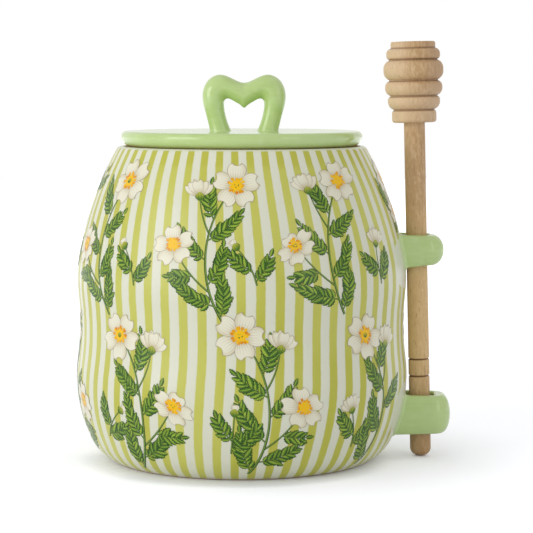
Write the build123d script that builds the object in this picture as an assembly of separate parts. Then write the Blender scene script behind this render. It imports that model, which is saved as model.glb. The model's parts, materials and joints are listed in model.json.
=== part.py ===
"""Stoneware honey pot with a loose lid, two dipper loops on its side, and a turned wooden dipper.

Millimetres. The origin is the centre of the foot on the pot's axis, +Z is up,
and +X points to the side that carries the loops and the dipper.
"""

import math
import os

from build123d import *

# ---------------------------------------------------------------- driving sizes
# Pot: a slip-cast shell of two soft lobes with a shallow waist between them. Its flank is a
# chain of arcs, each tangent to the next, that runs up and down from the waist. A turn is in
# degrees and is where one arc hands over to the next, measured from upright.
WAIST_R = 58.8
WAIST_Z = 49.4
WAIST_BEND = 95.6  # the only arc that is hollow from outside
UPPER_WAIST_TURN = 6.5
UPPER_LOBE_BEND = 47.0
UPPER_LOBE_TURN = 10.3
SHOULDER_BEND = 126.5
RIM_Z = 113.4  # level face that the lid rests on
LOWER_WAIST_TURN = 7.6
LOWER_LOBE_BEND = 50.7
LOWER_LOBE_TURN = 26.8
HEEL_BEND = 15.0  # the rounded bottom, down to the foot
WALL = 4.0
FLOOR = 5.5  # thickness of the bottom above the table
FLOOR_ROUND = 6.0  # where the floor turns up into the wall
MOUTH_R = 38.2
NECK_DEPTH = 4.6  # straight part of the mouth below the rim
GALLERY_DEPTH = 9.5  # from the rim down to where the wall starts to thicken towards the mouth
GALLERY_ROUND = 3.0
RIM_ROUND = 2.2
LIP_ROUND = 1.4  # inner edge of the mouth
FOOT_INNER_R = 39.5
FOOT_RECESS = 2.0  # the glazed bottom stands this far above the foot ring
FOOT_RECESS_ROUND = 1.4

# Lid: one pressed plate with a locating spigot below it.
LID_R = 43.6
LID_THICK = 5.4
LID_TOP_ROUND = 1.8
LID_LOW_ROUND = 3.5
SPIGOT_R = 37.2
SPIGOT_WALL = 3.8
SPIGOT_DEPTH = 7.0
SPIGOT_ROUND = 1.2
SPIGOT_ROOT_ROUND = 1.5

# Lid handle: a clay coil bent into an open heart, standing on two feet. Its right half is
# lofted through sections that span from the gap's edge to the outer edge: each row gives
# (x, rise above the lid) on the gap's edge, then on the outer edge.
HANDLE_SECTIONS = (
    ((4.7, 0), (12.4, 0)),  # foot
    ((5.9, 2.9), (12.9, 2.6)),
    ((6.8, 6.0), (13.75, 5.8)),
    ((7.25, 8.9), (14.85, 10.2)),  # widest part of the gap
    ((7.2, 10.4), (14.8, 14.6)),
    ((6.7, 11.35), (12.3, 18.9)),  # shoulder of the lobe
    ((5.8, 11.65), (8.8, 20.3)),  # crown of the lobe
    ((4.4, 11.15), (5.7, 19.6)),
    ((2.8, 10.2), (3.3, 18.45)),
    ((1.3, 9.25), (1.4, 17.65)),
    ((0, 8.3), (0, 17.4)),  # from the point to the dip between the lobes
)
HANDLE_OVERRUN = 3  # sections that the loft runs on past the middle, so that it crosses it smoothly
HANDLE_FLATTEN = 0.97  # depth of the coil over its width
HANDLE_DEPTH = 8.0  # most that the coil measures along Y
HANDLE_OFF_CENTRE = 0.85  # luted on by hand, this far from the lid's middle towards the loops

# Dipper loops: straps of clay bent round a bar and luted onto the pot's flank. A strap's section
# is flat inside and bulges outwards. It is given as (wall, bulge), where the bulge is how far the
# outer face stands out in the middle of its height, and it thickens round the bend towards the
# outer end. Heights are given where the loop meets the flank and at its outer end.
LOOP_HALF_WIDTH = 9.0  # along Y
LOOP_CORNER = 7.0  # radius of the strap's outer face where it turns, seen from above
LOOP_ROOT = (4.2, 1.4)
LOOP_BEND = (4.3, 2.5)  # where the arm starts to turn
LOOP_BEND_STEPS = 4  # spans of the loft round the bend
LOOP_EDGE_ROUND = 0.9
LOOP_FLANK_X = 57.5
LOOP_ROOT_X = 46.0  # the strap is made this far into the pot, then trimmed to the flank
LUTE_SEAM = 0.8  # width of the bevel of slip that fills the corner between strap and flank
UPPER_LOOP_REACH = 73.3  # from the pot's axis to the loop's outer end
UPPER_LOOP_END = (5.2, 4.1)
UPPER_LOOP_TOP = (81.5, 81.3)
UPPER_LOOP_BOTTOM = (69.4, 70.4)
LOWER_LOOP_REACH = 76.0
LOWER_LOOP_END = (5.8, 2.9)
LOWER_LOOP_TOP = (23.2, 22.9)
LOWER_LOOP_BOTTOM = (8.8, 8.95)

# Dipper: turned in one piece, standing on its tip and leaning towards the pot. Heights are
# along its own axis.
SHAFT_R = 3.8
TIP_ROUND = 3.0
DIPPER_TIP_X = 65.55
DIPPER_LEAN = 1.46  # degrees from upright
SHAFT_GROOVES = (29.6, 35.8)
SHAFT_GROOVE = 0.45  # depth and half width of each groove
# The beads of the head, from the shaft up: low, high, radius, lower and upper edge round, and the
# radius of the groove above, where the edge rounds on both sides of it stop. The top bead has no
# lower edge: it rises straight out of the bead below.
HEAD_BEADS = (
    (121.9, 126.45, 8.0, 1.0, 1.1, 7.3),
    (126.45, 131.45, 9.4, 3.0, 1.4, 8.5),
    (131.45, 137.05, 10.35, 2.8, 2.3, 8.8),
    (137.05, 144.55, 10.8, 3.2, 3.2, 8.7),
    (144.55, 148.65, 9.7, 1.3, 2.1, 8.05),
    (148.65, 151.0, 8.05, 0, 0.7, 0),
)


STANDING = (Align.CENTER, Align.CENTER, Align.MIN)  # a round block that stands on its own foot


def spun(curves):
    """The solid of a closed half outline, drawn as (radius, height), spun about Z."""
    return revolve(Plane.XZ * make_face(Curve() + curves), Axis.Z)


def circles(solid, radius, z):
    """The level circular edges of a solid that have this radius and height."""
    rings = solid.edges().filter_by(GeomType.CIRCLE)
    return rings.filter_by(
        lambda ring: abs(ring.radius - radius) < 0.01 and abs(ring.arc_center.Z - z) < 0.01
    )


def flank_half(up, inset, waist_turn, lobe_bend, lobe_turn, last_bend, end_z):
    """Three tangent arcs from the waist towards the rim (up = 1) or the foot (up = -1).

    The outline lies in the XZ plane, drawn as (radius, height). An inset of one wall thickness
    gives the inner face of the wall.
    """
    waist = JernArc((WAIST_R - inset, WAIST_Z), (0, up), WAIST_BEND + inset, -up * waist_turn)
    lobe = JernArc(waist @ 1, waist % 1, lobe_bend - inset, up * (waist_turn + lobe_turn))
    height_left = abs(end_z - (lobe @ 1).Y)
    bend = last_bend - inset
    end_turn = math.degrees(math.asin(math.sin(math.radians(lobe_turn)) + height_left / bend))
    last = JernArc(lobe @ 1, lobe % 1, bend, up * (end_turn - lobe_turn))
    return [waist, lobe, last]


def flank(inset, low_z, high_z):
    """The pot's flank, or its inner face, between two heights."""
    upper = flank_half(
        1, inset, UPPER_WAIST_TURN, UPPER_LOBE_BEND, UPPER_LOBE_TURN, SHOULDER_BEND, high_z
    )
    lower = flank_half(
        -1, inset, LOWER_WAIST_TURN, LOWER_LOBE_BEND, LOWER_LOBE_TURN, HEEL_BEND, low_z
    )
    return upper, lower


def make_pot_body():
    """Shell with a foot ring, an even wall and a rounded rim, and the solid that fills its outside."""
    upper, lower = flank(0, 0, RIM_Z)
    rim, foot = upper[-1] @ 1, lower[-1] @ 1
    outer = spun(upper + lower + [Polyline(rim, (0, RIM_Z), (0, 0), foot)])

    gallery_z = RIM_Z - GALLERY_DEPTH
    upper, lower = flank(WALL, FLOOR, gallery_z)
    gallery, floor_corner = upper[-1] @ 1, lower[-1] @ 1
    above = RIM_Z + WALL
    mouth = (MOUTH_R, RIM_Z - NECK_DEPTH)
    closing = Polyline(gallery, mouth, (MOUTH_R, above), (0, above), (0, FLOOR), floor_corner)
    cavity = spun(upper + lower + [closing])
    cavity = fillet(circles(cavity, gallery.X, gallery_z), GALLERY_ROUND)
    cavity = fillet(circles(cavity, *mouth), GALLERY_ROUND)
    cavity = fillet(circles(cavity, floor_corner.X, FLOOR), FLOOR_ROUND)

    recess = Cylinder(FOOT_INNER_R, FOOT_RECESS, align=STANDING)
    recess = fillet(circles(recess, FOOT_INNER_R, FOOT_RECESS), FOOT_RECESS_ROUND)
    pot = outer - cavity - recess
    pot = fillet(circles(pot, rim.X, RIM_Z), RIM_ROUND)
    pot = fillet(circles(pot, MOUTH_R, RIM_Z), LIP_ROUND)
    return pot, outer


def strap_section(wall, bulge, height):
    """A strap's section: flat inside, softly bulging outside. Its outermost point is the origin."""
    half = height / 2
    inside = Polyline((-bulge, half), (-wall, half), (-wall, -half), (-bulge, -half))
    outside = EllipticalCenterArc((-bulge, 0), bulge, half, start_angle=-90, arc_size=180)
    section = make_face(Curve() + [inside, outside])
    return fillet(section.vertices().group_by(Axis.X)[0], LOOP_EDGE_ROUND)


def strap_across(x, y, heading, wall, bulge, low, high):
    """A strap's section, stood up at (x, y) with its outside facing the heading, in degrees."""
    outward = Vector(1, 0, 0).rotate(Axis.Z, heading)
    along = outward.cross(Vector(0, 0, 1))
    plane = Plane((x, y, (low + high) / 2), x_dir=outward, z_dir=along)
    return plane * strap_section(wall, bulge, high - low)


def make_loop(reach, end, top, bottom, pot_solid):
    """One dipper loop: half a strap from arm, bend and end bar, its mirror image, then luted on."""
    bend_x = reach - LOOP_CORNER
    bend_y = LOOP_HALF_WIDTH - LOOP_CORNER
    run_on = (LOOP_FLANK_X - LOOP_ROOT_X) / (bend_x - LOOP_FLANK_X)
    root_top, root_bottom = (near + (near - far) * run_on for near, far in (top, bottom))
    root = strap_across(LOOP_ROOT_X, -LOOP_HALF_WIDTH, -90, *LOOP_ROOT, root_bottom, root_top)

    bend = []
    for step in range(LOOP_BEND_STEPS + 1):
        share = step / LOOP_BEND_STEPS
        outward = Vector(0, -1, 0).rotate(Axis.Z, 90 * share)
        x, y, _ = Vector(bend_x, -bend_y) + outward * LOOP_CORNER
        eased = share**2 * (3 - 2 * share)
        wall, bulge = (start + (last - start) * eased for start, last in zip(LOOP_BEND, end))
        bend.append(strap_across(x, y, 90 * share - 90, wall, bulge, bottom[1], top[1]))

    half = loft([root, bend[0]], ruled=True) + loft(bend) + extrude(bend[-1], -bend_y)
    loop = half + mirror(half, Plane.XZ) - pot_solid

    joined = pot_solid + loop
    corners = joined.edges().filter_by(GeomType.BSPLINE)
    seam = [edge for edge in corners if (edge @ 0.5).X < WAIST_R + 1]
    return joined.chamfer(LUTE_SEAM, None, seam) - pot_solid


def make_lid_plate():
    """Level plate with a rounded edge, and the spigot ring that keeps it centred in the mouth."""
    low_z = RIM_Z - SPIGOT_DEPTH
    bore_r = SPIGOT_R - SPIGOT_WALL
    spigot = Cylinder(SPIGOT_R, SPIGOT_DEPTH, align=STANDING)
    spigot -= Cylinder(bore_r, SPIGOT_DEPTH, align=STANDING)
    plate = Cylinder(LID_R, LID_THICK, align=STANDING)
    lid = Pos(0, 0, RIM_Z) * plate + Pos(0, 0, low_z) * spigot
    lid = fillet(circles(lid, LID_R, RIM_Z + LID_THICK), LID_TOP_ROUND)
    lid = fillet(circles(lid, LID_R, RIM_Z), LID_LOW_ROUND)
    lid = fillet(circles(lid, SPIGOT_R, low_z) + circles(lid, bore_r, low_z), SPIGOT_ROUND)
    return fillet(circles(lid, bore_r, RIM_Z), SPIGOT_ROOT_ROUND)


def make_lid_handle():
    """Open heart: lofted from a foot to just past the middle, trimmed there, and mirrored."""
    past_middle = [
        [(-x, rise) for x, rise in row] for row in HANDLE_SECTIONS[-2 : -2 - HANDLE_OVERRUN : -1]
    ]
    sections = []
    for gap_edge, outer_edge in [*HANDLE_SECTIONS, *past_middle]:
        inner, outer = (Vector(x, 0, rise) for x, rise in (gap_edge, outer_edge))
        across = outer - inner
        half_width = across.length / 2
        half_depth = min(half_width * HANDLE_FLATTEN, HANDLE_DEPTH / 2)
        plane = Plane((inner + outer) / 2, x_dir=across, z_dir=across.cross(Vector(0, 1, 0)))
        sections.append(plane * Ellipse(half_width, half_depth))
    half = split(loft(sections), Plane.YZ, keep=Keep.TOP)
    heart = half + mirror(half, Plane.YZ)
    return Pos(HANDLE_OFF_CENTRE, 0, RIM_Z + LID_THICK) * heart


def shaft_outline():
    """The dipper's half profile from the tip's centre up to the head, as a list of curves."""
    tip_flat = SHAFT_R - TIP_ROUND
    curves = [
        Line((0, 0), (tip_flat, 0)),
        CenterArc((tip_flat, TIP_ROUND), TIP_ROUND, -90, 90),
    ]
    start = (SHAFT_R, TIP_ROUND)
    for z in SHAFT_GROOVES:
        end = (SHAFT_R, z + SHAFT_GROOVE)
        curves.append(Polyline(start, (SHAFT_R, z - SHAFT_GROOVE), (SHAFT_R - SHAFT_GROOVE, z), end))
        start = end
    head_z = HEAD_BEADS[0][0]
    curves.append(Line(start, (SHAFT_R, head_z)))
    return curves, (SHAFT_R, head_z)


def edge_round(radius, bend, end_z, up, groove_r):
    """A bead's rounded edge, from its equator up (up = 1) or down (up = -1) to the groove."""
    centre = (radius - bend, end_z - up * bend)
    turn = math.degrees(math.acos(max(groove_r - centre[0], 0) / bend))
    return CenterArc(centre, bend, 0, up * turn)


def head_outline(start):
    """The beads' half profile from the shaft's end to the top's centre, as a list of curves."""
    curves = []
    at = start
    groove_below = 0
    for low, high, radius, low_round, high_round, groove_above in HEAD_BEADS:
        if low_round > 0:
            lower = edge_round(radius, low_round, low, -1, groove_below)
            curves += [Line(at, lower @ 1), lower]
            at = lower @ 0
        upper = edge_round(radius, high_round, high, 1, groove_above)
        curves += [Line(at, upper @ 0), upper]
        at = upper @ 1
        groove_below = groove_above
    curves.append(Line(at, (0, at.Y)))
    return curves


def make_dipper():
    """Turned profile spun about the dipper's own axis, then leant over its tip."""
    shaft, shaft_end = shaft_outline()
    head = head_outline(shaft_end)
    turned = spun(shaft + head + [Line(head[-1] @ 1, (0, 0))])
    tip_drop = (SHAFT_R - TIP_ROUND) * math.sin(math.radians(DIPPER_LEAN))
    return Pos(DIPPER_TIP_X, 0, tip_drop) * Rot(0, -DIPPER_LEAN, 0) * turned


def main():
    pot_body, pot_solid = make_pot_body()
    parts = {
        "pot_body": pot_body,
        "upper_dipper_loop": make_loop(
            UPPER_LOOP_REACH, UPPER_LOOP_END, UPPER_LOOP_TOP, UPPER_LOOP_BOTTOM, pot_solid
        ),
        "lower_dipper_loop": make_loop(
            LOWER_LOOP_REACH, LOWER_LOOP_END, LOWER_LOOP_TOP, LOWER_LOOP_BOTTOM, pot_solid
        ),
        "lid_plate": make_lid_plate(),
        "lid_handle": make_lid_handle(),
        "dipper": make_dipper(),
    }
    os.makedirs("parts", exist_ok=True)
    for name, part in parts.items():
        export_step(part, f"parts/{name}.step")
        print(name, "volume", round(part.volume), "mm3")


main()
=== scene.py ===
# %% [markdown]
# # A striped honey pot, its lid and its dipper
#
# The real object is a slip-cast stoneware pot. A loose lid, with an open heart for a handle, lies
# on its rim, and two clay loops on its side hold a turned wooden dipper.
# The construction comes ready made from a CAD frame, which is loaded and never changed. What is
# left to make is what the eye meets: glaze, printed stripes, a flower print, wood, light, a camera.

# %% Load the frame
import json
import math
import random

import bmesh
import bpy
import numpy as np
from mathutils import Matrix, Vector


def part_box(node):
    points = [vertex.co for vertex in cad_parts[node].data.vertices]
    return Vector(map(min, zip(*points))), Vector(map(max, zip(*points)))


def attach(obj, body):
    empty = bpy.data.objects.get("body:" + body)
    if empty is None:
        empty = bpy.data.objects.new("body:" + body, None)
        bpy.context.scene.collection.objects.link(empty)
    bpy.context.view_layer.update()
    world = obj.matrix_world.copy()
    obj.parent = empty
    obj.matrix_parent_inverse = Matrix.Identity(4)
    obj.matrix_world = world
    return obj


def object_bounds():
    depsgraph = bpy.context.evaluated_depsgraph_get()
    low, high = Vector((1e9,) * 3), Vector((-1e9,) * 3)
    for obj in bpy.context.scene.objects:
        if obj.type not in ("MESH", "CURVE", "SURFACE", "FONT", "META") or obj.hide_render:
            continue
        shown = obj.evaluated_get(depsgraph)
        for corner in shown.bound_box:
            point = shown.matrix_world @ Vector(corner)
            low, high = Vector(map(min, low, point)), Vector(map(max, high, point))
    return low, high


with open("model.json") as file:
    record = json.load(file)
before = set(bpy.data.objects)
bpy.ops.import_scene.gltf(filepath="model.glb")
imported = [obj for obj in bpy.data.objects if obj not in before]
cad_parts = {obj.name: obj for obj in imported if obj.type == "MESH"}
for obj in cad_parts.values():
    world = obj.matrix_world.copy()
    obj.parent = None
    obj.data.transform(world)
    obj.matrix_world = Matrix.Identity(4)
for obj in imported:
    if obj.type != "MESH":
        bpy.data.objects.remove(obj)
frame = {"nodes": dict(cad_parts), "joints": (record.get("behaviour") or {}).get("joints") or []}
nodes = frame["nodes"]
cad_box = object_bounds()
MM = 0.001
print("pieces in the frame:", sorted(nodes))
print("size in mm:", [round((high - low) / MM, 1) for low, high in zip(*cad_box)])

# %% [markdown]
# ## The camera
#
# A small pot looks best from well back through a long lens: its lid stays a thin ellipse and its
# sides hardly converge. The camera stands a little above the lid and tilts down to it. It could be
# aimed by a Track To constraint, but a plain place and tilt are easier to read.

# %% Set up the camera
def put(name, data):
    """A new object, linked to the scene."""
    made = bpy.data.objects.new(name, data)
    bpy.context.scene.collection.objects.link(made)
    return made


CAMERA_PLACE = (0.00895, -0.7228, 0.1358)
CAMERA_TILT = 84.76  # degrees up from looking straight down
LENS = 134.6  # millimetres, on a sensor 36 mm wide

lens = bpy.data.cameras.new("studio_camera")
lens.lens = LENS
lens.sensor_width = 36
camera = put("studio_camera", lens)
camera.location = CAMERA_PLACE
camera.rotation_euler = (math.radians(CAMERA_TILT), 0, 0)
bpy.context.scene.camera = camera
print("angle of view:", round(math.degrees(lens.angle), 1), "degrees")

# %% [markdown]
# ## A mixing desk for finishes
#
# In Blender a finish is a tree of nodes. Trees can be drawn by hand in the Shader Editor, or built
# in code. Code is chosen here, because the same few steps come back in every finish: noise, a soft
# threshold, a blend of two colours. One small class adds a node for each step and returns its
# result, so that a finish reads from top to bottom like a recipe.

# %% The mixing desk
def paint(red, green, blue):
    """A colour chip's 0 to 255 values as the linear colour that nodes work in."""
    chip = np.array([red, green, blue]) / 255
    linear = np.where(chip <= 0.04045, chip / 12.92, ((chip + 0.055) / 1.055) ** 2.4)
    return (*linear.tolist(), 1.0)


class Finish:
    """One material. Each method adds a node and returns its result."""

    def __init__(self, name, **settings):
        self.material = bpy.data.materials.new(name)
        self.material.use_nodes = True
        self.tree = self.material.node_tree
        self.shader = self.tree.nodes["Principled BSDF"]
        for setting, value in settings.items():
            self.shader.inputs[setting.replace("_", " ")].default_value = value

    def feed(self, socket, value):
        """Link a result to a socket, or set the socket to a plain value."""
        if isinstance(value, bpy.types.NodeSocket):
            self.tree.links.new(value, socket)
        else:
            socket.default_value = value

    def node(self, kind, inputs, **options):
        """A node of that kind, with its options set and its inputs fed by name or number."""
        made = self.tree.nodes.new("ShaderNode" + kind)
        for option, value in options.items():
            setattr(made, option, value)
        for name, value in inputs.items():
            self.feed(made.inputs[name], value)
        return made

    def calc(self, operation, a, b=0.0):
        """One key of a pocket calculator: an operation on one value or two."""
        return self.node("Math", {0: a, 1: b}, operation=operation).outputs[0]

    def product(self, *values):
        """The values multiplied together."""
        result = values[0]
        for value in values[1:]:
            result = self.calc("MULTIPLY", result, value)
        return result

    def off(self, value, middle):
        """How far a value is from a middle."""
        return self.calc("ABSOLUTE", self.calc("SUBTRACT", value, middle))

    def fade(self, value, start, end):
        """0 at start and 1 at end, softly. With start above end, it falls as the value grows."""
        inputs = {"Value": value, "From Min": start, "From Max": end}
        return self.node("MapRange", inputs, interpolation_type="SMOOTHSTEP").outputs["Result"]

    def band(self, value, low, high, soft):
        """1 between low and high, and 0 outside."""
        rise = self.fade(value, low - soft, low + soft)
        return self.product(rise, self.fade(value, high + soft, high - soft))

    def blend(self, share, a, b):
        """Colour a where share is 0, and b where it is 1."""
        return self.node("Mix", {0: share, 6: a, 7: b}, data_type="RGBA").outputs[2]

    def wash(self, colour, tone, *shares):
        """A tone laid over a colour, as strongly as the shares multiplied together."""
        return self.blend(self.product(*shares), colour, tone)

    def axes(self, vector):
        """The x, y and z of a vector."""
        return self.node("SeparateXYZ", {0: vector}).outputs

    def place(self, output="Object"):
        """Where a point lies in its piece's own coordinates, or another output of the node."""
        return self.node("TexCoord", {}).outputs[output]

    def stretch(self, vector, z):
        """The vector scaled along Z. A small number draws a pattern out along it."""
        inputs = {0: vector, 1: (1, 1, z)}
        return self.node("VectorMath", inputs, operation="MULTIPLY").outputs[0]

    def turn(self, vector, angle):
        """The vector turned about the Y axis."""
        inputs = {"Vector": vector, "Angle": angle}
        return self.node("VectorRotate", inputs, rotation_type="Y_AXIS").outputs[0]

    def from_axis(self, a, b):
        """The distance from an axis, from the two coordinates that cross it."""
        return self.calc("SQRT", self.calc("ADD", self.product(a, a), self.product(b, b)))

    def noise(self, vector, scale, detail=3.0, roughness=0.5):
        """Soft clouds of chance about 0.5, so many of them to a metre."""
        inputs = {"Vector": vector, "Scale": scale, "Detail": detail, "Roughness": roughness}
        return self.node("TexNoise", inputs).outputs[0]

    def waver(self, vector, scale, width):
        """Chance about nothing, over a width."""
        return self.product(self.calc("SUBTRACT", self.noise(vector, scale), 0.5), width)

    def bump(self, height, depth):
        """Let the shader's normal follow a height, depth metres from 0 to 1."""
        made = self.node("Bump", {"Height": height, "Distance": depth})
        self.feed(self.shader.inputs["Normal"], made.outputs[0])

    def colour(self, value):
        self.feed(self.shader.inputs["Base Color"], value)

    def roughness(self, value):
        self.feed(self.shader.inputs["Roughness"], value)


def dress(name, finish):
    """Give a CAD piece its finish."""
    for slot in nodes[name].material_slots:
        slot.material = finish.material
    print(name, "wears", finish.material.name)


print("mid grey, 128 of 255, in linear light:", round(paint(128, 128, 128)[0], 3))

# %% [markdown]
# ## Pale green glaze
#
# The lid, its handle and the loops are dipped in one coloured glaze. A glaze is never quite even:
# it runs thin and pale over an edge and gathers deeper in a hollow, it keeps a faint cloud of brush
# strokes, and its skin is slightly wavy, so that a highlight wobbles. A clear coat over a rough base
# could stand for it. One smooth glossy layer is nearer, as the colour is in the glass itself.

# %% Mix the green glaze
GLAZE_GREEN = paint(197, 221, 147)
GLAZE_DEEP = paint(186, 211, 130)
GLAZE_THIN = paint(212, 231, 172)
GLAZE_GLOSS = 0.14
GLAZE_WAVE = 0.12 * MM
EDGE_REACH = 1.2 * MM
EDGE_TURN = (0.995, 0.93)  # cosines of the turn at which an edge starts and ends thinning the glaze


def mix_green_glaze():
    glaze = Finish("green_glaze", Roughness=GLAZE_GLOSS, IOR=1.52)
    spot = glaze.place()
    cloud = glaze.noise(spot, 45, 4)
    strokes = glaze.noise(glaze.stretch(spot, 5), 160, 3)
    shade = glaze.calc("ADD", glaze.product(cloud, 0.7), glaze.product(strokes, 0.3))
    colour = glaze.blend(glaze.fade(shade, 0.3, 0.62), GLAZE_DEEP, GLAZE_GREEN)
    thin = glaze.product(glaze.fade(glaze.noise(spot, 90, 5, 0.6), 0.56, 0.72), 0.4)

    # Over an edge the true normal turns away from one that is averaged over EDGE_REACH round it.
    averaged = glaze.node("Bevel", {"Radius": EDGE_REACH}, samples=6).outputs[0]
    true_normal = glaze.node("NewGeometry", {}).outputs["Normal"]
    both = {0: averaged, 1: true_normal}
    likeness = glaze.node("VectorMath", both, operation="DOT_PRODUCT").outputs["Value"]
    edge = glaze.product(glaze.fade(likeness, *EDGE_TURN), 0.5)
    glaze.colour(glaze.blend(glaze.calc("MAXIMUM", thin, edge), colour, GLAZE_THIN))
    glaze.bump(glaze.noise(spot, 70, 2), GLAZE_WAVE)
    return glaze


green_glaze = mix_green_glaze()
for name in ("lid_plate", "lid_handle", "upper_dipper_loop", "lower_dipper_loop"):
    dress(name, green_glaze)

# %% [markdown]
# ## Stripes on a transfer
#
# Over its white glaze the pot wears a transfer, a printed film, with upright stripes in a thin
# yellow-green wash. The stripes run from foot to rim and draw together with the pot, so each one is
# a fixed share of a turn and not a fixed width. That makes the angle about the pot's axis the right
# thing to count by: an arctangent of the position gives it, and a ping-pong wave turns it into the
# distance from the nearest stripe's middle. Painting an image on unwrapped UVs would need a seam.
#
# The wet film was pulled a little aside near the rim and the foot, so the stripes are slightly
# bowed. It is cut away round each of the two loops, in a window with rounded corners.

# %% Cut the transfer to shape
FOOT_MARGIN = 0.6 * MM
RIM_MARGIN = 0.5 * MM
CUT_ANGLE = math.radians(22)  # how far round the pot a window reaches to each side
CUT_CORNERS = 4  # the power of a superellipse: 2 is an ellipse, and more is nearer to a box
CUT_BELOW = {"upper_dipper_loop": 6.0 * MM, "lower_dipper_loop": -1.0 * MM}
CUT_ABOVE = {"upper_dipper_loop": -1.5 * MM, "lower_dipper_loop": 5.5 * MM}

pot_low, pot_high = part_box("pot_body")
rim_z = pot_high.z
stripes_z = (pot_low.z + FOOT_MARGIN, rim_z - RIM_MARGIN)
loops_z = {name: (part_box(name)[0].z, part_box(name)[1].z) for name in CUT_BELOW}
cut_outs = [
    (low - CUT_BELOW[name], high + CUT_ABOVE[name]) for name, (low, high) in loops_z.items()
]
for low, high in cut_outs:
    print("the transfer is cut away from", round(low / MM, 1), "to", round(high / MM, 1), "mm up")


def transfer_share(glaze, angle, z):
    """1 where the transfer lies: between foot and rim, and clear of the windows at the loops."""
    share = glaze.band(z, *stripes_z, 0.25 * MM)
    off_side = glaze.product(glaze.calc("ABSOLUTE", angle), 1 / CUT_ANGLE)
    aside = glaze.calc("POWER", off_side, CUT_CORNERS)
    for low, high in cut_outs:
        off_centre = glaze.product(glaze.off(z, (low + high) / 2), 2 / (high - low))
        above = glaze.calc("POWER", off_centre, CUT_CORNERS)
        share = glaze.product(share, glaze.fade(glaze.calc("ADD", aside, above), 0.92, 1.08))
    return share


# %% Draw the stripes
STRIPES = 56
STRIPE_SHARE = 0.24  # half a stripe's width, as a share of the way from one to the next
STRIPE_SOFT = 0.035  # how far its edge bleeds, on the same scale
FIRST_STRIPE = math.radians(-89.6)
BOW = 0.44  # how far the film was pulled aside near the rim and the foot, in stripes
BOW_TOP = (68 * MM, 118 * MM)  # the heights over which the pull sets in
BOW_BOTTOM = (48 * MM, -8 * MM)
STRIPE_FULL = paint(191, 190, 58)
STRIPE_WASHED = paint(205, 205, 92)
POOL = (rim_z - 9 * MM, rim_z - 4 * MM)  # the heights where the wash starts to pool and is full


def stripe_share(glaze, spot, angle, z):
    """1 on a stripe and 0 between two, from the distance to the nearest stripe's middle."""
    turns = glaze.product(glaze.calc("SUBTRACT", angle, FIRST_STRIPE), STRIPES / math.tau)
    bow = glaze.product(glaze.calc("ADD", glaze.fade(z, *BOW_TOP), glaze.fade(z, *BOW_BOTTOM)), BOW)
    turns = glaze.calc("ADD", turns, bow)
    away = glaze.calc("ADD", glaze.calc("PINGPONG", turns, 0.5), glaze.waver(spot, 350, 0.06))
    return glaze.fade(away, STRIPE_SHARE + STRIPE_SOFT, STRIPE_SHARE - STRIPE_SOFT)


def stripe_wash(glaze, spot, z):
    """The uneven wash: paler in broad clouds, and fuller where it pooled under the rim."""
    cloud = glaze.fade(glaze.noise(spot, 16, 2), 0.36, 0.64)
    grain = glaze.noise(glaze.stretch(spot, 0.3), 420, 2)
    pooled = glaze.fade(z, *POOL)
    full = glaze.calc("MAXIMUM", glaze.calc("ADD", cloud, glaze.product(grain, 0.3)), pooled)
    return glaze.blend(full, STRIPE_WASHED, STRIPE_FULL)


pitch = math.tau * pot_high.x / STRIPES
print("stripes:", STRIPES, "and at the widest one every", round(pitch / MM, 1), "mm")

# %% [markdown]
# ## White glaze and bare clay
#
# Under the transfer the pot is glazed white inside and out. The foot ring and the lid's seat are
# wiped bare before firing, or the glaze would weld the pot to the kiln shelf and to its lid. Round
# the loops the flank is tinted green, fading out to each side. Each of these could be a material on
# faces picked by hand. One finish that goes by the place on the pot keeps every border
# soft.

# %% Mix the white glaze
GLAZE_WHITE = paint(231, 232, 211)
WHITE_SHADE = paint(225, 226, 204)
BARE_CLAY = paint(190, 156, 120)
POT_GLOSS = 0.30
POT_SHINE = 0.3  # under the usual 0.5, as a once-fired transfer dulls the glaze
GREEN_TINT_ACROSS = (17 * MM, 8 * MM)  # how far to each side of the loops the green tint fades out
GREEN_TINT_SOFT = 2.5 * MM  # the same above and below them
BARE_FOOT = (0.55 * MM, 0.3 * MM)  # the heights over which the foot goes from glazed to bare
BARE_RIM = (rim_z - 0.4 * MM, rim_z - 0.15 * MM)
SEAT_MARGIN = 1 * MM  # how much farther the lid reaches than its bare seat

lid_low, lid_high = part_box("lid_plate")
seat_r = (lid_high.x - lid_low.x) / 2 - SEAT_MARGIN


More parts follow.
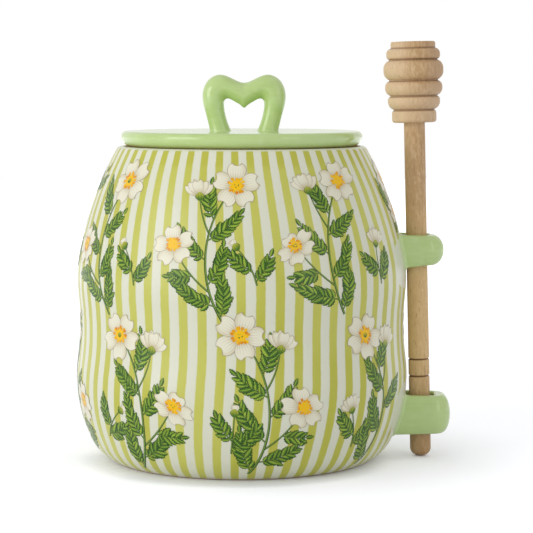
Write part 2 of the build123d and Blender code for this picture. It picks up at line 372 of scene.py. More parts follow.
def mix_pot_glaze():
    glaze = Finish("pot_glaze", IOR=1.5, Specular_IOR_Level=POT_SHINE)
    spot = glaze.place()
    x, y, z = glaze.axes(spot)
    angle = glaze.calc("ARCTAN2", y, x)
    nx, ny, _ = glaze.axes(glaze.place("Normal"))
    outward = glaze.calc("ADD", glaze.product(nx, x), glaze.product(ny, y))
    outside = glaze.fade(outward, 0, 2 * MM)
    white = glaze.blend(glaze.noise(spot, 30, 3), WHITE_SHADE, GLAZE_WHITE)
    striped = stripe_share(glaze, spot, angle, z)
    printed = glaze.product(striped, outside, transfer_share(glaze, angle, z))
    colour = glaze.wash(white, stripe_wash(glaze, spot, z), printed, 0.95)

    # The green tint lies on the loops' side of the pot only.
    beside = glaze.fade(glaze.calc("ABSOLUTE", y), *GREEN_TINT_ACROSS)
    side = glaze.product(beside, glaze.fade(x, 0, 10 * MM))
    for low, high in loops_z.values():
        level = glaze.band(z, low, high, GREEN_TINT_SOFT)
        colour = glaze.wash(colour, GLAZE_GREEN, side, level, outside, 0.6)

    under_lid = glaze.fade(glaze.from_axis(x, y), seat_r + 0.2 * MM, seat_r)
    seat = glaze.product(glaze.fade(z, *BARE_RIM), under_lid)
    bare = glaze.calc("MAXIMUM", glaze.fade(z, *BARE_FOOT), seat)
    glaze.colour(glaze.blend(bare, colour, BARE_CLAY))
    glaze.roughness(glaze.calc("ADD", POT_GLOSS, glaze.product(bare, 0.5)))
    glaze.bump(glaze.noise(spot, 55, 2), 0.10 * MM)
    return glaze


dress("pot_body", mix_pot_glaze())
print("the lid's bare seat is", round(2 * seat_r / MM, 1), "mm across")

# %% [markdown]
# ## The flower print
#
# The same transfer carries flowers: coloured enamel, printed flat on the film, slid onto the glaze
# and fired into it. Shader masks could draw them, but some thousand petals and leaflets would need
# as many masks, and one image would blur close up. So they are made as a printer would cut them:
# each shape is drawn flat and then wrapped round the pot, a few hundredths of a millimetre proud of
# the glaze. Each kind of ink becomes one mesh, and a UV map called "motif" tells its finish how far
# across and along a shape every point lies. The design is a plain cinquefoil sprig with feathered
# leaves, repeated with changes like a wallpaper.
#
# Wrapping needs the pot's outline. It is read from the rings of vertices on its outer face, and is
# kept as the distance climbed from the foot, so that a sprig keeps its length on the curved flank.

# %% Read the pot's outline
FACING_OUT = 0.3  # the least share of a vertex's normal that points away from the axis
ring_radii = {}
for vertex in nodes["pot_body"].data.vertices:
    radius = math.hypot(vertex.co.x, vertex.co.y)
    outward = vertex.normal.x * vertex.co.x + vertex.normal.y * vertex.co.y
    if outward > FACING_OUT * radius:
        ring_radii.setdefault(round(vertex.co.z, 5), []).append(radius)

ring_z = np.array(sorted(ring_radii))
ring_r = np.array([max(ring_radii[z]) for z in sorted(ring_radii)])
ring_climb = np.concatenate([[0], np.cumsum(np.hypot(np.diff(ring_z), np.diff(ring_r)))])
ring_tilt = np.arctan2(-np.gradient(ring_r, ring_climb), np.gradient(ring_z, ring_climb))
print("rings:", len(ring_z), "climb from foot to rim, mm:", round(ring_climb[-1] / MM, 1))


def wrap(flat, turn, climb, lift):
    """Lay flat points (right, up) on the pot, at a turn round its axis and a climb up its flank."""
    climbs = climb + flat[:, 1]
    z = np.interp(climbs, ring_climb, ring_z)
    r = np.interp(climbs, ring_climb, ring_r)
    tilt = np.interp(climbs, ring_climb, ring_tilt)
    angle = turn + flat[:, 0] / r
    out = r + lift * np.cos(tilt)
    return np.column_stack([out * np.cos(angle), out * np.sin(angle), z + lift * np.sin(tilt)])


# %% [markdown]
# ## Inks and blades
#
# Every shape of the print is a blade: a middle line with a width at each step. A stem is a long
# thin blade, a leaflet an almond, and a petal a broad one with a notch in its tip. Each could be a
# curve with a bevel, but a grid of points can be wrapped, and knows its own length and width.
# An ink gathers blades and makes one mesh of them. Enamels overlap, so each ink lies at its own
# height, and each blade a hair above the one before it, which keeps two of them from sharing a
# surface. The steps start again after five blades, and a flower has five petals, so they overlap in
# order.

# %% Draw blades
def blade(line, half_widths, columns, notch=0.0):
    """A grid of flat points about a middle line. A notch pulls back the middle of its end."""
    ahead = np.gradient(line, axis=0)
    ahead /= np.linalg.norm(ahead, axis=1)[:, None]
    side = np.column_stack([ahead[:, 1], -ahead[:, 0]])
    across = np.linspace(-1, 1, columns + 1)
    grid = line[:, None] + (across[:, None] * side[:, None]) * np.reshape(half_widths, (-1, 1, 1))
    pull = notch * (1 - across**2) * np.linspace(0, 1, len(line))[:, None] ** 6
    return grid - pull[:, :, None] * ahead[:, None]


def shoot(start, heading, length, bend, steps):
    """A line that grows from a start, its heading turning by bend. Headings are degrees from up."""
    headings = np.radians(heading + bend * (np.arange(steps) + 0.5) / steps)
    moves = np.column_stack([np.sin(headings), np.cos(headings)]) * length / steps
    return np.vstack([start, start + np.cumsum(moves, axis=0)])


def along(line, share):
    """The point at a share of the way along a line."""
    at = share * (len(line) - 1)
    before = min(int(at), len(line) - 2)
    return line[before] + (line[before + 1] - line[before]) * (at - before)


arc = shoot(np.zeros(2), 0, 10 * MM, 90, 20)
print("a 10 mm shoot that bends by 90 degrees ends at, mm:", np.round(arc[-1] / MM, 1))

# %% Gather blades in inks
BLADE_STEP = 0.004 * MM
STEPS = 5
STUB = 0.3  # a stem cut shorter than this share of its length is left out


def cut_away(x, y, z):
    """Whether there is no transfer here: in a window at a loop, or at the pot's foot or rim."""
    aside = abs(math.atan2(y, x) / CUT_ANGLE) ** CUT_CORNERS
    for low, high in cut_outs:
        above = abs((2 * z - low - high) / (high - low)) ** CUT_CORNERS
        if aside + above < 1:
            return True
    return not stripes_z[0] < z < stripes_z[1]


class Ink:
    """The shapes printed in one colour family, gathered for one mesh."""

    def __init__(self, name, lift, whole=True):
        self.name = name
        self.lift = lift
        self.whole = whole  # whether a shape that meets a cut-out is left out, and not cut short
        self.points = []
        self.faces = []
        self.motif = []
        self.tint = []
        self.shapes = 0

    def add(self, flat, sprig, tint):
        """Add a grid of flat points, rows along it and columns across, as one shape of a sprig.

        A stem stops at the first row that a cut-out takes, and is left out if only a stub is left.
        """
        rows, columns = flat.shape[:2]
        lift = self.lift + self.shapes % STEPS * BLADE_STEP
        self.shapes += 1
        points = wrap(sprig.place(flat.reshape(-1, 2)), sprig.turn, sprig.climb, lift)
        kept = np.array([not cut_away(*point) for point in points])
        if self.whole and not kept.all():
            return
        rows_kept = np.logical_and.accumulate(kept.reshape(rows, columns).all(axis=1))
        if rows_kept.sum() < rows * STUB:
            return
        first = sum(len(group) for group in self.points)
        self.points.append(points)
        share = np.stack(np.meshgrid(np.linspace(0, 1, columns), np.linspace(0, 1, rows)), axis=2)
        self.motif.append(share.reshape(-1, 2))
        self.tint.append(np.full((len(points), 2), tint))
        for row in range(rows - 1):
            if not rows_kept[row + 1]:
                break
            for column in range(columns - 1):
                corner = row * columns + column
                face = [corner, corner + 1, corner + columns + 1, corner + columns]
                if sprig.mirrored:
                    face.reverse()
                self.faces.append([first + index for index in face])

    def dry(self, finish):
        """Make the mesh, and bind it to the pot."""
        mesh = bpy.data.meshes.new(self.name)
        mesh.from_pydata(np.concatenate(self.points).tolist(), [], self.faces)
        corners = np.array([loop.vertex_index for loop in mesh.loops])
        for name, groups in (("motif", self.motif), ("tint", self.tint)):
            layer = mesh.uv_layers.new(name=name)
            layer.data.foreach_set("uv", np.concatenate(groups)[corners].ravel())
        mesh.polygons.foreach_set("use_smooth", [True] * len(mesh.polygons))
        mesh.materials.append(finish.material)
        sheet = put(self.name, mesh)
        tidy = bmesh.new()
        tidy.from_mesh(mesh)
        loose = [vertex for vertex in tidy.verts if not vertex.link_faces]
        bmesh.ops.delete(tidy, geom=loose, context="VERTS")
        tidy.to_mesh(mesh)
        tidy.free()
        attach(sheet, "pot")
        print(self.name, "shapes:", self.shapes, "faces:", len(mesh.polygons))


# %% [markdown]
# ## Feathered leaves
#
# The design takes five inks, with the stems lowest and the stamens and cups on top. A leaf is a
# fine rib with pairs of toothed leaflets that shrink towards its tip. One leaf could be drawn by
# hand and stamped many times. Growing each one by a rule is as short, and no two come out alike.

# %% Set out the inks
stem_ink = Ink("print_stems", 0.045 * MM, whole=False)
leaf_ink = Ink("print_leaves", 0.070 * MM)
petal_ink = Ink("print_petals", 0.100 * MM)
stamen_ink = Ink("print_stamens", 0.130 * MM)
cup_ink = Ink("print_cups", 0.130 * MM)
chance = random.Random(11)


def vary(low, high):
    """A number between the two, by chance."""
    return chance.uniform(low, high)


for ink in (stem_ink, leaf_ink, petal_ink, stamen_ink, cup_ink):
    print(ink.name, "lie from", round(ink.lift / MM, 3), "mm over the glaze")

# %% Grow leaves
LEAFLET = 4.0 * MM
LEAFLET_SLIM = 0.23  # half width over length
LEAFLET_STEPS = 9
LEAFLET_SPREAD = 64  # degrees from the rib, at its foot
SPREAD_LOSS = 30  # how much less that is at its tip
TOOTH = 0.16  # how far the teeth stand out, as a share of the leaflet's width
PAIR_GAP = 1.9 * MM
STEM_WIDTH = 0.40 * MM  # half of it
STEM_STEP = 1.5 * MM
STEM_TAPER = 0.6  # the width at its end over the width at its foot


def grow_stem(sprig, start, heading, length, bend, thick=1.0):
    steps = max(4, round(length / STEM_STEP))
    line = shoot(start, heading, length, bend, steps)
    widths = np.linspace(1, STEM_TAPER, steps + 1) * STEM_WIDTH * thick
    stem_ink.add(blade(line, widths, 2), sprig, vary(0, 1))
    return line


def grow_leaflet(sprig, start, heading, length, bend):
    line = shoot(start, heading, length, bend, LEAFLET_STEPS)
    share = np.linspace(0, 1, LEAFLET_STEPS + 1)
    outline = 0.08 + np.sin(np.pi * share**0.85) ** 0.8
    teeth = 1 + TOOTH * (-1) ** np.arange(LEAFLET_STEPS + 1)
    leaf_ink.add(blade(line, length * LEAFLET_SLIM * outline * teeth, 4), sprig, vary(0, 1))


def grow_leaf(sprig, start, heading, length, bend):
    """A rib with leaflets in pairs, and one at its tip."""
    middle = shoot(start, heading + bend / 2, length / 2, 0, 1)[-1]
    if not sprig.has_room(middle, length / 2):
        return
    rib = grow_stem(sprig, start, heading, length, bend, 0.7)
    pairs = round(length / PAIR_GAP)
    for pair in range(pairs):
        share = 0.12 + 0.84 * pair / pairs
        swell = 0.35 + 0.75 * math.sin(math.pi * (0.18 + 0.72 * share))
        size = LEAFLET * swell * vary(0.85, 1.12)
        for side in (-1, 1):
            opening = LEAFLET_SPREAD - SPREAD_LOSS * share + vary(-8, 8)
            spread = heading + bend * share + side * opening
            grow_leaflet(sprig, along(rib, share), spread, size, -side * vary(14, 34))
    grow_leaflet(sprig, rib[-1], heading + bend, LEAFLET * 0.8, 0)


print("leaflets on a leaf of 16 mm:", 2 * round(16 * MM / PAIR_GAP) + 1)

# %% [markdown]
# ## Open blossoms
#
# A blossom has five broad notched petals, a small green eye and a ring of golden stamens. One that
# looks aside could be modelled round and turned. It is drawn face on and then squeezed towards the
# side that it looks to, as a pattern drawer would, and so it stays flat enough to print.

# %% Open blossoms
PETALS = 5
PETAL_STEPS = 10
PETAL_WIDE = 0.40  # half width over the blossom's radius
WIDEST = 0.68  # how far along a petal it is widest
NOTCH = 0.13  # its depth over the petal's length
STAMENS = 17
BOSS = 0.22  # the golden boss under them, its radius over the blossom's radius
EYE = 0.10  # the green eye's radius over the blossom's radius
FILAMENT = (0.03, 0.025, 0.025, 0.03, 0.06, 0.04)  # half widths of a stamen, on the same scale
DISC_ROWS = 9
DISC_END = 0.985  # a disc's outermost row, short of 1 so that it keeps some width


def squeeze(flat, centre, looks_to, squash):
    """Foreshorten flat points about a centre, along the direction that a flower looks to."""
    aim = np.array([math.sin(looks_to), math.cos(looks_to)])
    away = flat - centre
    return centre + away - np.multiply.outer(away @ aim, aim) * (1 - squash)


def open_petal(sprig, centre, angle, reach, wide, looks_to, squash):
    line = shoot(np.zeros(2), math.degrees(angle), reach, vary(-10, 10), PETAL_STEPS)
    share = np.linspace(0, 1, PETAL_STEPS + 1)
    swell = 0.16 + 0.84 * np.sin(np.pi / 2 * np.minimum(share / WIDEST, 1)) ** 1.2
    tip = np.sqrt(1 - 0.78 * np.clip((share - WIDEST) / (1 - WIDEST), 0, 1) ** 2)
    petal = centre + blade(line, swell * tip * wide, 8, notch=NOTCH * reach)
    petal_ink.add(squeeze(petal, centre, looks_to, squash), sprig, vary(0, 1))


def disc(centre, radius):
    """A disc as a grid: a blade whose width follows a circle."""
    share = np.linspace(-DISC_END, DISC_END, DISC_ROWS)
    line = centre + np.column_stack([np.zeros(DISC_ROWS), share * radius])
    return blade(line, np.sqrt(1 - share**2) * radius, 6)


def open_blossom(sprig, centre, size, looks_to, squash):
    """Petals are laid from the side that the flower looks away from, so the near ones overlap."""
    start = vary(0, math.tau)
    angles = [start + math.tau * petal / PETALS for petal in range(PETALS)]
    for angle in sorted(angles, key=lambda angle: math.cos(angle - looks_to)):
        reach = size * vary(0.94, 1.04)
        open_petal(sprig, centre, angle, reach, size * PETAL_WIDE, looks_to, squash)

    # The stamens and the eye stand proud, so they shift a little to where the flower looks.
    aim = np.array([math.sin(looks_to), math.cos(looks_to)])
    middle = centre + size * (1 - squash) * 0.3 * aim
    squash = (1 + squash) / 2
    stamen_ink.add(squeeze(disc(middle, size * BOSS), middle, looks_to, squash), sprig, 0)
    for stamen in range(STAMENS):
        angle = math.tau * (stamen + vary(-0.3, 0.3)) / STAMENS
        line = shoot(middle, math.degrees(angle), size * vary(0.29, 0.41), vary(-20, 20), 5)
        filament = blade(line, size * np.array(FILAMENT), 2)
        stamen_ink.add(squeeze(filament, middle, looks_to, squash), sprig, vary(0, 1))
    cup_ink.add(squeeze(disc(middle, size * EYE), middle, looks_to, squash), sprig, vary(0, 1))


print("a blossom has", PETALS, "petals and", STAMENS, "stamens")

# %% [markdown]
# ## Half-open blossoms and buds
#
# A blossom that is half open is a fan of petals in a green cup, and a bud is a few folded petals in
# the same cup. Both could be shapes of their own. Made from the petal that is there already, they
# match the open blossoms, and any change to it reaches all three.

# %% Half-open blossoms and buds
FAN = (-44, 44, -23, 23, 0)  # degrees from the way that a half-open blossom faces
FOLD = (-16, 16, -8, 8, 0)  # the same for the petals of a bud
CUP = (0.16, 0.34, 0.5, 0.56, 0.5, 0.34, 0.1)  # half widths of a cup over its length
FAN_CUP = 0.42  # the cup's length over the flower's size
FOLD_CUP = 0.66


def grow_cup(sprig, start, heading, size):
    """The green cup that holds the petals, with its mouth at the start of the petals."""
    line = shoot(start, heading, size, 0, len(CUP) - 1)
    cup_ink.add(blade(line, size * np.array(CUP), 6), sprig, vary(0, 1))


def half_open(sprig, start, heading, size):
    """A half-open blossom is a fan of petals, the middle one on top, in a cup."""
    root = shoot(start, heading, size * 0.2, 0, 1)[-1]
    for spread in FAN:
        angle = math.radians(heading + spread)
        reach = size * vary(0.86, 0.96)
        open_petal(sprig, root, angle, reach, size * PETAL_WIDE * 0.72, angle, 1)
    grow_cup(sprig, start, heading, size * FAN_CUP)


def close_bud(sprig, start, heading, size):
    """A bud is a few small petals folded over each other, in a cup."""
    root = shoot(start, heading, size * 0.3, 0, 1)[-1]
    for spread in FOLD:
        angle = math.radians(heading + spread)
        open_petal(sprig, root, angle, size * 0.72, size * 0.2, angle, 1)
    grow_cup(sprig, start, heading, size * FOLD_CUP)


print("spread of a half-open blossom and of a bud, degrees:", np.ptp(FAN), np.ptp(FOLD))

# %% [markdown]
# ## Composing the sprigs
#
# A sprig grows from one arching stem. Leaves and side shoots leave it in turn, left and right, and
# each shoot ends in a blossom or a bud. Flowers could be laid on top of whatever is there, but then
# they would bury each other. So a flower first claims its place, and its shoot is drawn only if the
# place is free: no flower buries another one or is cut by a window, and no shoot ends in nothing.

# %% Claim places for flowers
CROWDING = 0.70  # how near two flowers may stand, as a share of their sizes added up
flower_places = []  # point on the pot and size of each flower that has its place


class Sprig:
    """Where a sprig stands, and which way round it is."""

    def __init__(self, turn, climb, mirrored, size):
        self.turn = turn
        self.climb = climb
        self.mirrored = mirrored
        self.size = size

    def place(self, flat):
        """Flat points at the sprig's own size, and mirrored if it is."""
        return flat * self.size * np.array([-1 if self.mirrored else 1, 1])

    def on_pot(self, flat):
        return wrap(self.place(flat), self.turn, self.climb, 0)

    def has_room(self, centre, reach):
        """Whether a shape of that reach stays clear of the cut-outs, the foot and the rim."""
        around = centre + reach * np.array([[0, 0], [1, 0], [-1, 0], [0, 1], [0, -1]])
        return not any(cut_away(*point) for point in self.on_pot(around))

    def claim(self, centre, size):
        """Keep the place for a flower, unless it has no room or would bury another one."""
        here = self.on_pot(centre[None])[0]
        for there, other in flower_places:
            if math.dist(here, there) < CROWDING * (size + other):
                return False
        if not self.has_room(centre, size):
            return False
        flower_places.append((here, size))
        return True


print("flowers of 8 mm stand at least", round(CROWDING * 2 * 8, 1), "mm apart")

# %% Compose a sprig
LEAVES = ((0.03, -1), (0.12, 1), (0.27, -1), (0.44, 1), (0.57, -1), (0.72, 1))  # how far up, side
SHOOTS = ((0.22, 1, (19, 22)), (0.40, -1, (18, 21)), (0.62, 1, (12, 14)))  # the same, and mm long
HALF_OPEN_FROM = 0.5  # how far up the stem the shoots start to carry half-open blossoms
CROWN = (8.9, 9.8)  # mm, the blossom at the stem's end from its centre to its tips
BLOSSOM = (8.0, 9.1)
HALF_BLOSSOM = (7.0, 8.0)
BUD = (4.0, 4.6)
BUD_AT = 0.66
BUD_TWIG = 13 * MM


def grow_sprig(sprig):
    """A stem with leaves, two blossoms, a half-open one and a bud at its sides, and a crown."""
    lean = vary(30, 38)
    bend = vary(-78, -66)
    stem = grow_stem(sprig, np.zeros(2), lean, vary(50, 54) * MM, bend, 1.2)
    crown = vary(*CROWN) * MM
    crowned = sprig.claim(stem[-1], crown)

    def heading(share):
        return lean + bend * share

    for share, side in LEAVES:
        spread = heading(share) + side * vary(44, 62)
        length = vary(14, 18) * MM * (1.1 - 0.4 * share)
        grow_leaf(sprig, along(stem, share), spread, length, -side * vary(15, 40))

    reaches = [vary(*lengths) * MM for share, side, lengths in SHOOTS]
    for (share, side, _), reach in zip(SHOOTS, reaches):
        root = along(stem, share)
        start = heading(share) + side * vary(38, 48)
        turning = -side * vary(20, 34)
        half = share > HALF_OPEN_FROM
        size = vary(*(HALF_BLOSSOM if half else BLOSSOM)) * MM
        if not sprig.claim(shoot(root, start, reach, turning, 8)[-1], size):
            continue
        side_shoot = grow_stem(sprig, root, start, reach, turning, 0.9)
        if half:
            half_open(sprig, side_shoot[-1], start - side * 20, size)
        else:
            looks_to = math.radians(start - side * 25)
            open_blossom(sprig, side_shoot[-1], size, looks_to, vary(0.66, 0.85))
            leaf_root = along(side_shoot, 0.4)
            grow_leaf(sprig, leaf_root, start + side * 50, vary(8, 10) * MM, -side * 20)

    root = along(stem, BUD_AT)
    start = heading(BUD_AT) - 52
    size = vary(*BUD) * MM
    if sprig.claim(shoot(root, start, BUD_TWIG, 30, 8)[-1], size):
        twig = grow_stem(sprig, root, start, BUD_TWIG, 30, 0.7)
        close_bud(sprig, twig[-1], start + 30, size)
    if crowned:
        open_blossom(sprig, stem[-1], crown, math.radians(vary(-60, 60)), vary(0.84, 0.96))
    else:
        grow_leaf(sprig, stem[-1], heading(1), 9 * MM, -20)


print("a stem has", len(LEAVES), "leaves and", len(SHOOTS), "shoots")

# %% Compose a twig
TWIG_BLOSSOM = (6, 7)
TWIG_BUD = (4.2, 4.8)


def grow_twig(sprig, blooms):
    """A filler: one short stem with a leaf on each side, and a bud or a half-open blossom."""
    lean = vary(-30, 30)
    bend = vary(-30, 30)
    length = vary(13, 16) * MM
    size = vary(*(TWIG_BLOSSOM if blooms else TWIG_BUD)) * MM
    if not sprig.claim(shoot(np.zeros(2), lean, length, bend, 8)[-1], size):
        return
    stem = grow_stem(sprig, np.zeros(2), lean, length, bend, 0.8)
    grow_leaf(sprig, along(stem, 0.1), lean + 56, vary(10, 12) * MM, -25)
    grow_leaf(sprig, along(stem, 0.35), lean - 50, vary(9, 11) * MM, 25)
    if blooms:
        half_open(sprig, stem[-1], lean + bend, size)
    else:
        close_bud(sprig, stem[-1], lean + bend, size)


print("sizes of a twig's blossom and bud, mm:", TWIG_BLOSSOM, TWIG_BUD)

# %% [markdown]
# ## Setting the sprigs in rows
#
# The sprigs stand in two rows set like bricks, the lower row arching to the right and the upper one
# to the left, with small twigs in the gaps. Strewn by chance alone they would clump and leave
# holes. Set in rows, with a little chance in each place, they cover the pot evenly and still look
# grown. All the chance comes from one seeded generator, so every run prints the same.

# %% Set the sprigs in rows
COLUMNS = 8
# Each row has its climb, how far along a column it stands, its size, and whether it is mirrored.
ROWS = ((4 * MM, 0.10, 1.0, False), (61 * MM, 0.85, 0.94, True))
TWIGS = (
    (16 * MM, 0.88, 1.0, False),
    (44 * MM, 0.02, 0.9, True),
    (72 * MM, 0.18, 0.95, False),
    (101 * MM, 0.10, 0.8, True),
)

for climb, offset, size, mirrored in ROWS:
    for column in range(COLUMNS):
        turn = math.tau * (column + offset + vary(-0.05, 0.05)) / COLUMNS
        grow_sprig(Sprig(turn, climb + vary(-1, 2) * MM, mirrored, size))

for row, (climb, offset, size, mirrored) in enumerate(TWIGS):
    for column in range(COLUMNS):
        turn = math.tau * (column + offset + vary(-0.08, 0.08)) / COLUMNS
        blooms = (column + row) % 3 == 0
        grow_twig(Sprig(turn, climb + vary(-2, 2) * MM, mirrored, size), blooms)

print("flowers with a place:", len(flower_places))

# %% [markdown]
# ## Enamel for the inks
#
# Printed enamel is flat colour with drawn detail: darker outlines, a light rib, fine hatching. Each
# finish finds its way about a shape by the "motif" map, where x runs across the shape and y along
# it, and gives each shape its own tint by the "tint" map. Reading a named map with the UV Map node
# keeps working when an exporter adds a map of its own.

# %% Print the stems
LEAF_DARK = paint(16, 54, 0)
STEM_LIGHT = paint(118, 152, 58)


def enamel(name):
    """A finish, with the share across and along the shape, and its tint."""
    ink = Finish(name, Roughness=POT_GLOSS, IOR=1.5, Specular_IOR_Level=POT_SHINE)
    across, along_it, _ = ink.axes(ink.node("UVMap", {}, uv_map="motif").outputs[0])
    tint = ink.axes(ink.node("UVMap", {}, uv_map="tint").outputs[0])[0]
    return ink, across, along_it, tint


def mix_stem_enamel():
    ink, across, _, _ = enamel("stem_enamel")
    shaded = ink.fade(ink.off(across, 0.4), 0.12, 0.4)
    ink.colour(ink.blend(shaded, STEM_LIGHT, LEAF_DARK))
    return ink


stem_ink.dry(mix_stem_enamel())

# %% Print the leaves
LEAF_MID = paint(72, 118, 20)
LEAF_LIGHT = paint(166, 194, 64)
LEAF_VEINS = 5  # from the base of a leaflet to its tip
VEIN_SLANT = 3  # how steeply they run up from its middle line


def mix_leaf_enamel():
    ink, across, along_it, tint = enamel("leaf_enamel")
    aside = ink.off(across, 0.5)  # 0 on the middle line, and 0.5 on the edges
    lit = ink.blend(tint, LEAF_MID, LEAF_LIGHT)
    colour = ink.blend(ink.fade(across, 0.46, 0.54), lit, LEAF_MID)
    slanted = ink.calc("ADD", ink.product(along_it, LEAF_VEINS), ink.product(aside, -VEIN_SLANT))
    veins = ink.calc("PINGPONG", slanted, 0.5)
    colour = ink.wash(colour, LEAF_DARK, ink.fade(veins, 0.30, 0.46), 0.55)
    colour = ink.wash(colour, LEAF_LIGHT, ink.fade(aside, 0.09, 0.04), 0.7)
    ink.colour(ink.wash(colour, LEAF_DARK, ink.fade(aside, 0.26, 0.42)))
    return ink


leaf_ink.dry(mix_leaf_enamel())

# %% Print the petals
PETAL_CREAM = paint(240, 236, 212)
PETAL_SHADE = paint(210, 198, 160)
PETAL_LINE = paint(160, 142, 112)
PETAL_VEINS = 7  # across a petal


def mix_petal_enamel():
    ink, across, along_it, _ = enamel("petal_enamel")
    folded = ink.product(ink.fade(across, 0.34, 0.0), 0.55)
    deep = ink.calc("MAXIMUM", ink.fade(along_it, 0.58, 0.16), folded)
    colour = ink.blend(deep, PETAL_CREAM, PETAL_SHADE)
    veins = ink.calc("PINGPONG", ink.product(across, PETAL_VEINS), 0.5)
    short_of_tip = ink.fade(along_it, 0.86, 0.4)
    colour = ink.wash(colour, PETAL_LINE, ink.fade(veins, 0.14, 0.02), short_of_tip, 0.45)
    tip = ink.fade(along_it, 0.955, 0.985)
    rim = ink.calc("MAXIMUM", ink.fade(ink.off(across, 0.5), 0.45, 0.49), tip)
    ink.colour(ink.wash(colour, PETAL_LINE, rim, 0.75))
    return ink


petal_ink.dry(mix_petal_enamel())

# %% Print the stamens and the cups
STAMEN_YELLOW = paint(252, 200, 8)
STAMEN_ORANGE = paint(222, 132, 4)
EYE_GREEN = paint(178, 186, 60)
SEPALS = 3  # across a cup


def mix_stamen_enamel():
    ink, _, along_it, tint = enamel("stamen_enamel")
    anther = ink.fade(along_it, 0.6, 0.72)
    gold = ink.blend(tint, STAMEN_YELLOW, STAMEN_ORANGE)
    ink.colour(ink.blend(anther, STAMEN_YELLOW, gold))
    return ink


def mix_cup_enamel():
    ink, across, along_it, _ = enamel("cup_enamel")
    colour = ink.blend(ink.fade(along_it, 0.1, 0.9), LEAF_MID, EYE_GREEN)
    between = ink.calc("PINGPONG", ink.product(across, SEPALS), 0.5)
    colour = ink.wash(colour, LEAF_DARK, ink.fade(between, 0.12, 0.03), 0.7)
    rim = ink.fade(ink.off(across, 0.5), 0.38, 0.48)
    ink.colour(ink.wash(colour, LEAF_DARK, rim, 0.7))
    return ink


stamen_ink.dry(mix_stamen_enamel())
cup_ink.dry(mix_cup_enamel())

# %% [markdown]
# ## Turned beech
#
# The dipper is turned from one stick of beech and left unvarnished. Beech is told by its short
# brown flecks, which lie along the grain, over faint growth rings. The rings go right through the
# wood, so they come up as contour lines on the beads. Wrapped UVs can't show that. A pattern worked
# out in three dimensions can, in the dipper's own upright axes, which are found by undoing its
# lean. The slots between the beads and the turned rings on the shaft are darkened as painted shade.

# %% Find the dipper's own axis
HEAD_FROM = 122  # mm up from the tip to where the head starts
lift = next(joint for joint in frame["joints"] if joint["child"] == "dipper")
lean = math.atan2(-lift["axis"][0], lift["axis"][2])
tip_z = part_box("dipper")[0].z
dipper_points = np.array([vertex.co for vertex in nodes["dipper"].data.vertices])
tip_points = dipper_points[dipper_points[:, 2] < tip_z + 2 * MM]
tip_x = (tip_points[:, 0].min() + tip_points[:, 0].max()) / 2
ring_of = {}
for x, y, z in dipper_points:
    upright_x = (x - tip_x) * math.cos(lean) + z * math.sin(lean)
    upright_z = z * math.cos(lean) - (x - tip_x) * math.sin(lean)
    height = round(upright_z / MM, 1)
    ring_of[height] = max(ring_of.get(height, 0), math.hypot(upright_x, y))
heights = sorted(ring_of)
grooves = [
    (here * MM, ring_of[here])
    for below, here, above in zip(heights, heights[1:], heights[2:])
    if here > HEAD_FROM and ring_of[here] < min(ring_of[below], ring_of[above])
]
print("the dipper leans", round(math.degrees(lean), 2), "degrees")
print("grooves in its head, mm:", [(round(z / MM, 1), round(r / MM, 1)) for z, r in grooves])

# %% Pattern the beech
# painted shade for the grooves of the head and the turned rings on the shaft
BEECH_GROOVE_SHADE = paint(96, 62, 38)
RING_WIDTH = 3.4 * MM
HEART_AWAY = (34 * MM, 21 * MM)  # from the dipper's axis to the heart of the tree
SHAFT_R = 3.8 * MM
RINGS_BAND = (28 * MM, 38 * MM, 0.5 * MM)  # from, to and how softly, up from the tip
GROOVE_SHADE_REACH = 0.65 * MM  # how far up and down from a groove's bottom the painted shade reaches


def growth_rings(wood, upright, x, y):
    """1 in the dark late wood at the end of each year's growth, and 0 in the rest."""
    sway = wood.waver(wood.stretch(upright, 0.12), 60, 9 * MM)
    across = wood.calc("ADD", wood.calc("ADD", x, HEART_AWAY[0]), sway)
    from_heart = wood.from_axis(across, wood.calc("ADD", y, HEART_AWAY[1]))
    ring = wood.calc("FRACT", wood.product(from_heart, 1 / RING_WIDTH))
    return wood.product(wood.fade(ring, 0.15, 0.9), wood.fade(ring, 1.0, 0.88))


def paint_groove_shade(wood, colour, x, y, z):
    """Painted shade: brown in the grooves of the head and in the turned rings on the shaft."""
    radius = wood.from_axis(x, y)
    for groove_z, groove_r in grooves:
        level = wood.fade(wood.off(z, groove_z), GROOVE_SHADE_REACH, 0.1 * MM)
        inside = wood.fade(radius, groove_r + 1.3 * MM, groove_r + 0.2 * MM)
        colour = wood.wash(colour, BEECH_GROOVE_SHADE, level, inside, 0.5)
    in_ring = wood.fade(radius, SHAFT_R - 0.04 * MM, SHAFT_R - 0.3 * MM)
    return wood.wash(colour, BEECH_GROOVE_SHADE, in_ring, wood.band(z, *RINGS_BAND), 0.8)


print("years between the heart and the dipper:", round(math.hypot(*HEART_AWAY) / RING_WIDTH))

# %% Mix the beech
BEECH = paint(218, 185, 138)
BEECH_LATE = paint(186, 147, 102)
# The pale tone is also painted light, on the stick's left side towards the key box, and the pink one
# is painted shade, on its right.
BEECH_PALE_AND_LIT = paint(234, 205, 168)
BEECH_PINK_SHADE = paint(198, 164, 130)
BEECH_STRAW_LIT = paint(244, 210, 150)
BEECH_FLECK = paint(156, 114, 78)
ASKEW = math.radians(4)  # between the grain and the stick
LIT_STRAW_BAND = (28 * MM, 88 * MM, 16 * MM)  # painted light: along its middle, beside the pot, the stick is made the colour of straw
NECK_BAND = (121 * MM, 134 * MM, 4 * MM)  # it is pale under its head
BROWN_TIP = (16 * MM, 4 * MM)


